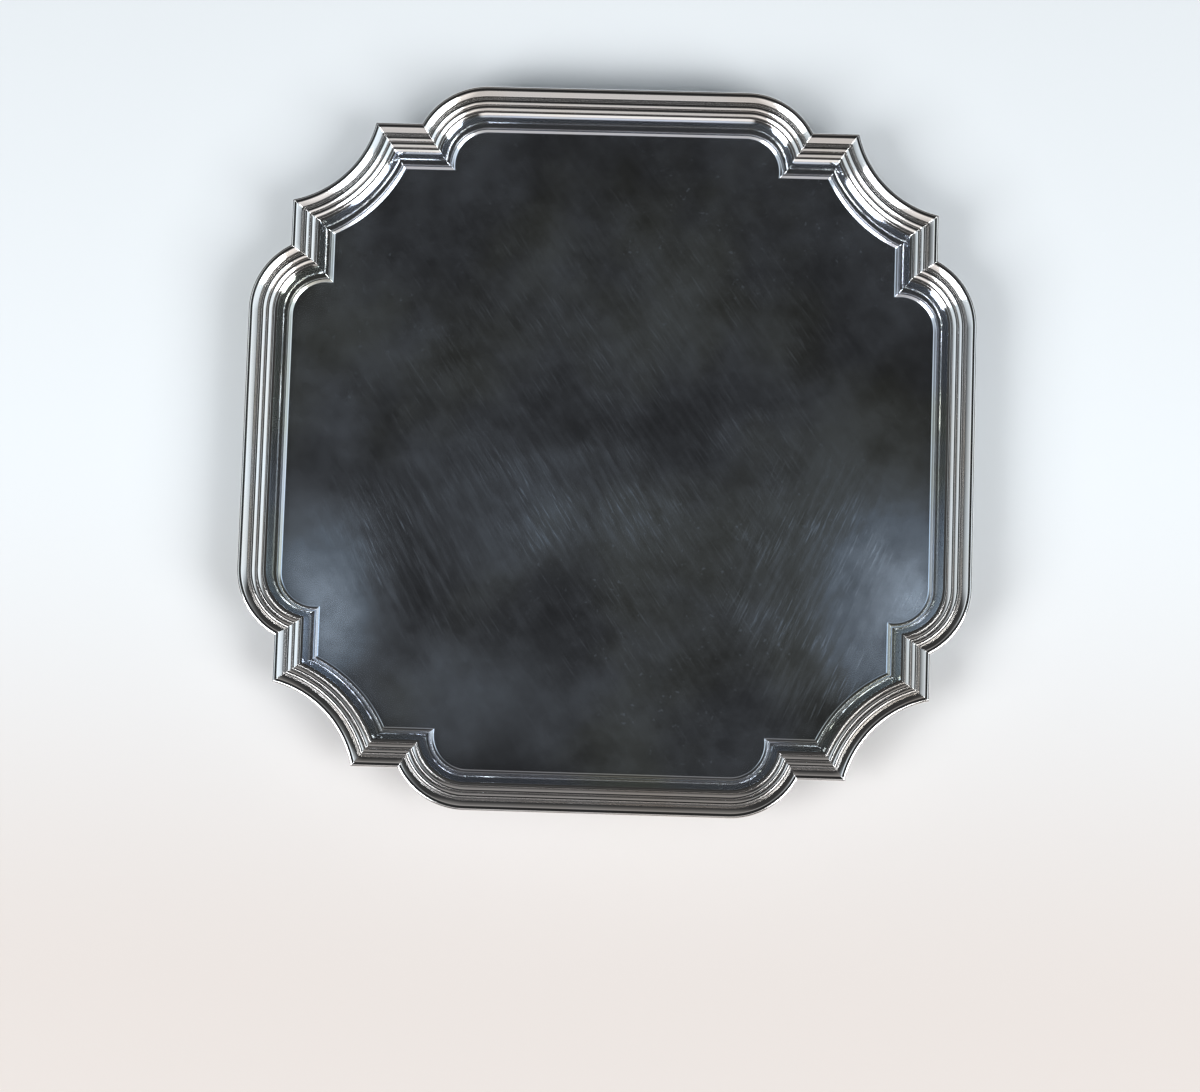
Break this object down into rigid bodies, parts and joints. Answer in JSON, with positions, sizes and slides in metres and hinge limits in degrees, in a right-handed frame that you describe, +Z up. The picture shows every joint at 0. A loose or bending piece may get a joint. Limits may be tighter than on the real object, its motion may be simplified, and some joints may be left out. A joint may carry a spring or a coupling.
{
  "type": "square footed salver",
  "caption": "Square silver salver with a reeded moulded border, stepped and scooped corners, a mirror-polished flat and small pad feet.",
  "frame": {"origin": "centre of the square outline, on the plane the feet stand on", "axes": "+Z up out of the dish, +X to the right and +Y to the back, both square to the straight sides"},
  "size_m": [0.305, 0.305, 0.028],
  "materials": {
    "silver_flat": "mirror-polished sterling silver with fine wear scratches and a faint haze",
    "silver_border": "polished cast silver moulding",
    "silver_feet": "polished cast silver, a little duller in the hollows"
  },
  "bodies": {
    "root": {"tray": "silver_flat", "border_side_back": "silver_border", "border_side_front": "silver_border", "border_side_left": "silver_border", "border_side_right": "silver_border", "border_step_back_left": "silver_border", "border_step_back_right": "silver_border", "border_step_front_left": "silver_border", "border_step_front_right": "silver_border", "border_step_left_back": "silver_border", "border_step_left_front": "silver_border", "border_step_right_back": "silver_border", "border_step_right_front": "silver_border", "corner_scoop_back_left": "silver_border", "corner_scoop_back_right": "silver_border", "corner_scoop_front_left": "silver_border", "corner_scoop_front_right": "silver_border", "foot_back_left": "silver_feet", "foot_back_right": "silver_feet", "foot_front_left": "silver_feet", "foot_front_right": "silver_feet"}
  },
  "joints": []
}
